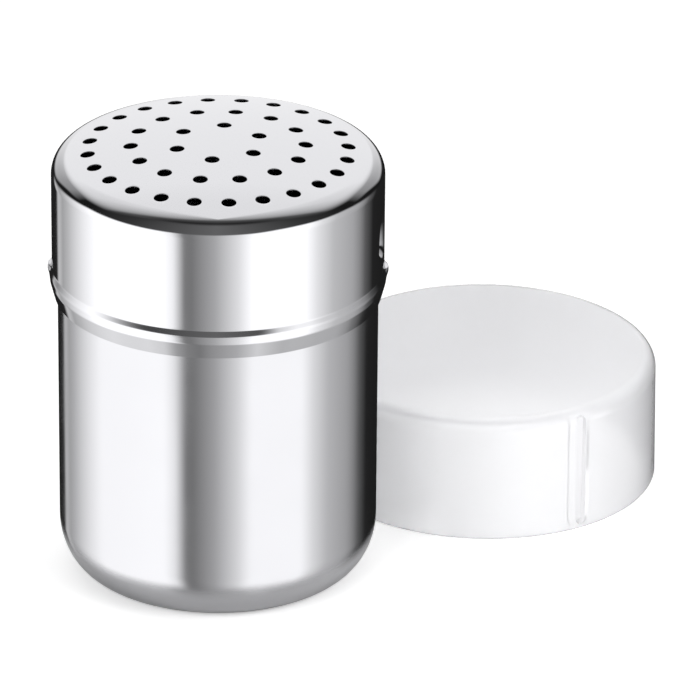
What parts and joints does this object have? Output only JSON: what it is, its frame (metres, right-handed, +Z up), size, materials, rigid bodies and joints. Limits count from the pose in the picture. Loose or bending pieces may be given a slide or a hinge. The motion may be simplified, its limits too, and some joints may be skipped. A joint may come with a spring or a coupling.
{
  "type": "spice shaker",
  "caption": "Round steel hand shaker with a domed sieve lid that lifts off, and a clear press-on freshness cap standing beside it; for spices and powdered sugar.",
  "frame": {"origin": "on the shaker's axis, where its flat base rests", "axes": "+Z up along the shaker's axis, -Y towards the viewer in front, +X to the right, towards the cap that stands beside the shaker"},
  "size_m": [0.1214, 0.1112, 0.0897],
  "materials": {
    "drawn_steel_body": "deep-drawn stainless steel, polished",
    "drawn_steel_lid": "deep-drawn stainless steel, polished",
    "clear_plastic": "moulded clear plastic, gloss"
  },
  "bodies": {
    "container": {"container": "drawn_steel_body"},
    "lid": {"sieve_lid": "drawn_steel_lid"},
    "cap": {"freshness_cap": "clear_plastic"}
  },
  "joints": [
    {"name": "lid_lift", "type": "slide", "parent": "container", "child": "lid", "axis": [0, 0, 1], "range_m": [0, 0.04]},
    {"name": "cap_lift", "type": "slide", "parent": "container", "child": "cap", "axis": [0, 0, 1], "range_m": [0, 0.1]}
  ]
}
